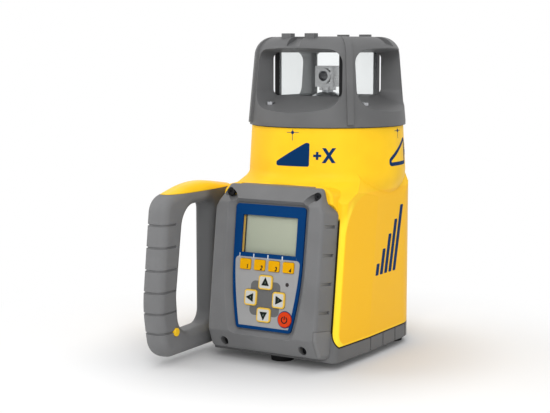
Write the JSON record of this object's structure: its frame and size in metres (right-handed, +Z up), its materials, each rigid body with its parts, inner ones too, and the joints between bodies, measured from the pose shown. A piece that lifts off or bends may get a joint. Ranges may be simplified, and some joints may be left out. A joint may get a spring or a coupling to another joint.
{
  "type": "dual grade laser",
  "caption": "Self-levelling rotating laser for grade work: boxy body with round neck, windowed lantern over a spinning prism head, side carry handle, sloped keypad with display.",
  "frame": {"origin": "centre of the mouth of the bottom tripod thread, level with the soles of the feet", "axes": "+Z up along the rotor, +X to the right of the control panel seen from in front of it, +Y from the panel to the rear"},
  "size_m": [0.1834, 0.2802, 0.3297],
  "materials": {
    "yellow_shell": "satin",
    "grey_shell": "satin, fine texture",
    "yellow_trim": "satin",
    "dark_rubber": "matt",
    "panel_blue": "printed, satin",
    "display_glass": "clear",
    "display": "satin",
    "key_yellow": "matt",
    "key_grey": "matt",
    "key_red": "matt",
    "lamp": "clear",
    "board": "solder mask",
    "glass": "clear",
    "steel": "brushed",
    "aluminium": "machined",
    "dark_metal": "anodised",
    "brass": "turned",
    "magnet": "plated",
    "cell": "wrapped",
    "holder": "moulded"
  },
  "bodies": {
    "casing": {"base_tray": "grey_shell", "main_housing": "yellow_shell", "front_cover": "grey_shell", "handle": "grey_shell", "handle_top_insert": "yellow_trim", "handle_plug": "yellow_trim", "handle_screws": "steel", "cover_screws": "steel", "lantern_screws": "steel", "lantern_frame": "grey_shell", "lantern_roof": "grey_shell", "lantern_gasket": "dark_rubber", "window_panes": "glass", "corner_seals": "dark_rubber", "wiper_seal": "dark_rubber", "rubber_feet": "dark_rubber", "tripod_insert": "brass", "rear_tripod_insert": "brass", "keypad_panel": "panel_blue", "lcd_window": "display_glass", "lcd_module": "display", "keypad_board": "board", "main_board": "board", "board_standoffs": "brass", "status_lamp": "lamp", "chassis": "aluminium", "drive_frame": "aluminium", "frame_pillars": "aluminium", "guide_rods": "steel", "level_motors": "dark_metal", "battery_cells": "cell", "battery_holder": "holder", "battery_door": "grey_shell", "charge_jack": "holder"},
    "gimbal": {"gimbal_ring": "aluminium"},
    "carrier": {"optics_carrier": "dark_metal", "carrier_end_cap": "steel", "laser_module": "brass", "spindle_bearings": "steel", "motor_stator": "steel", "swivel_dome": "dark_metal"},
    "rotor": {"spindle": "steel", "motor_magnet": "magnet", "rotor_head": "aluminium", "rotor_prism": "glass"},
    "low_slide": {"cross_slide_low": "brass"},
    "high_slide": {"cross_slide_high": "brass"},
    "low_screw": {"lead_screw_low": "steel"},
    "high_screw": {"lead_screw_high": "steel"},
    "latch": {"battery_latch": "yellow_trim"},
    "cap": {"jack_cap": "dark_rubber"},
    "soft_key_1_body": {"soft_key_1": "key_yellow"},
    "soft_key_2_body": {"soft_key_2": "key_yellow"},
    "soft_key_3_body": {"soft_key_3": "key_yellow"},
    "soft_key_4_body": {"soft_key_4": "key_yellow"},
    "arrow_key_up_body": {"arrow_key_up": "key_grey"},
    "arrow_key_down_body": {"arrow_key_down": "key_grey"},
    "arrow_key_left_body": {"arrow_key_left": "key_grey"},
    "arrow_key_right_body": {"arrow_key_right": "key_grey"},
    "power_key_body": {"power_key": "key_red"}
  },
  "joints": [
    {"name": "tilt_x", "type": "hinge", "parent": "casing", "child": "gimbal", "pos_m": [0, 0, 0.24], "axis": [1, 0, 0], "range_deg": [-14, 14]},
    {"name": "tilt_y", "type": "hinge", "parent": "gimbal", "child": "carrier", "pos_m": [0, 0, 0.24], "axis": [0, 1, 0], "range_deg": [-14, 14]},
    {"name": "rotor_spin", "type": "hinge", "parent": "carrier", "child": "rotor", "pos_m": [0, 0, 0.271], "axis": [0, 0, 1], "continuous": true},
    {"name": "low_slide_travel", "type": "slide", "parent": "casing", "child": "low_slide", "axis": [0, 1, 0], "range_m": [-0.0287, 0.0287]},
    {"name": "high_slide_travel", "type": "slide", "parent": "casing", "child": "high_slide", "axis": [1, 0, 0], "range_m": [-0.0269, 0.0269]},
    {"name": "low_screw_turn", "type": "hinge", "parent": "casing", "child": "low_screw", "pos_m": [0.048, 0, 0.112], "axis": [0, 1, 0], "range_deg": [-645, 645]},
    {"name": "high_screw_turn", "type": "hinge", "parent": "casing", "child": "high_screw", "pos_m": [0, 0.046, 0.142], "axis": [1, 0, 0], "range_deg": [-605, 605]},
    {"name": "battery_latch_turn", "type": "hinge", "parent": "casing", "child": "latch", "pos_m": [0, 0.074, 0.054], "axis": [0, 1, 0], "range_deg": [0, 90]},
    {"name": "jack_cap_swing", "type": "hinge", "parent": "casing", "child": "cap", "pos_m": [0, 0.077, 0.097], "axis": [1, 0, 0], "range_deg": [0, 110]},
    {"name": "soft_key_1_press", "type": "slide", "parent": "casing", "child": "soft_key_1_body", "axis": [0, 0.9919, -0.1271], "range_m": [0, 0.001], "stiffness_N_per_m": 400},
    {"name": "soft_key_2_press", "type": "slide", "parent": "casing", "child": "soft_key_2_body", "axis": [0, 0.9919, -0.1271], "range_m": [0, 0.001], "stiffness_N_per_m": 400},
    {"name": "soft_key_3_press", "type": "slide", "parent": "casing", "child": "soft_key_3_body", "axis": [0, 0.9919, -0.1271], "range_m": [0, 0.001], "stiffness_N_per_m": 400},
    {"name": "soft_key_4_press", "type": "slide", "parent": "casing", "child": "soft_key_4_body", "axis": [0, 0.9919, -0.1271], "range_m": [0, 0.001], "stiffness_N_per_m": 400},
    {"name": "arrow_key_up_press", "type": "slide", "parent": "casing", "child": "arrow_key_up_body", "axis": [0, 0.9919, -0.1271], "range_m": [0, 0.001], "stiffness_N_per_m": 400},
    {"name": "arrow_key_down_press", "type": "slide", "parent": "casing", "child": "arrow_key_down_body", "axis": [0, 0.9919, -0.1271], "range_m": [0, 0.001], "stiffness_N_per_m": 400},
    {"name": "arrow_key_left_press", "type": "slide", "parent": "casing", "child": "arrow_key_left_body", "axis": [0, 0.9919, -0.1271], "range_m": [0, 0.001], "stiffness_N_per_m": 400},
    {"name": "arrow_key_right_press", "type": "slide", "parent": "casing", "child": "arrow_key_right_body", "axis": [0, 0.9919, -0.1271], "range_m": [0, 0.001], "stiffness_N_per_m": 400},
    {"name": "power_key_press", "type": "slide", "parent": "casing", "child": "power_key_body", "axis": [0, 0.9919, -0.1271], "range_m": [0, 0.001], "stiffness_N_per_m": 400}
  ],
  "couplings": [
    {"joint": "low_slide_travel", "follows": "tilt_x", "m_per_rad": 0.1172},
    {"joint": "low_screw_turn", "follows": "tilt_x", "ratio": -46.024},
    {"joint": "high_slide_travel", "follows": "tilt_y", "m_per_rad": -0.11},
    {"joint": "high_screw_turn", "follows": "tilt_y", "ratio": 43.197}
  ]
}
